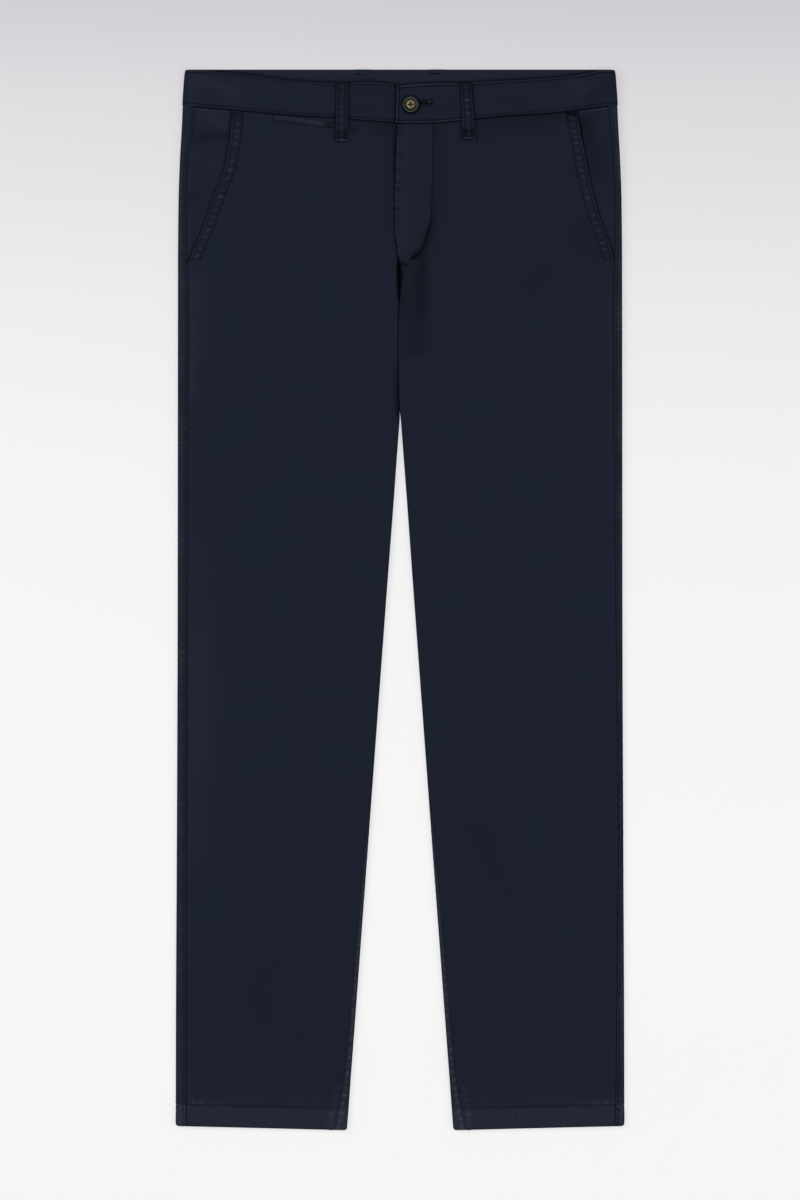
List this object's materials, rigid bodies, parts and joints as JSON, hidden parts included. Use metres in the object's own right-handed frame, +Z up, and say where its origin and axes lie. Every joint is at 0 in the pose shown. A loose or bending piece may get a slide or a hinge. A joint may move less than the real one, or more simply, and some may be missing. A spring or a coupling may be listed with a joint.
{
  "type": "chino trousers",
  "caption": "Slim chino trousers lying flat with the front up: straight legs, slanted pockets, a ticket pocket, belt loops and a buttoned waist tab.",
  "frame": {"origin": "on the surface that the trousers lie on, under the middle of their length and width", "axes": "+Y towards the waist, along the legs; +X towards the wearer's left; +Z up, out of the front"},
  "size_m": [0.4478, 1.06, 0.0095],
  "materials": {
    "cloth": "garment-washed stretch cotton twill, dark navy, matt",
    "waistband": "the same navy twill in several stitched layers, matt",
    "button": "imitation horn, turned and polished, olive brown"
  },
  "bodies": {
    "root": {"left_back_leg": "cloth", "right_back_leg": "cloth", "left_front_leg": "cloth", "right_front_leg": "cloth", "left_pocket_facing": "cloth", "right_pocket_facing": "cloth", "coin_pocket_welt": "cloth", "left_waistband": "waistband", "right_waistband": "waistband", "left_front_belt_loop": "cloth", "right_front_belt_loop": "cloth", "left_back_belt_loop": "cloth", "right_back_belt_loop": "cloth", "waist_button": "button"}
  },
  "joints": []
}
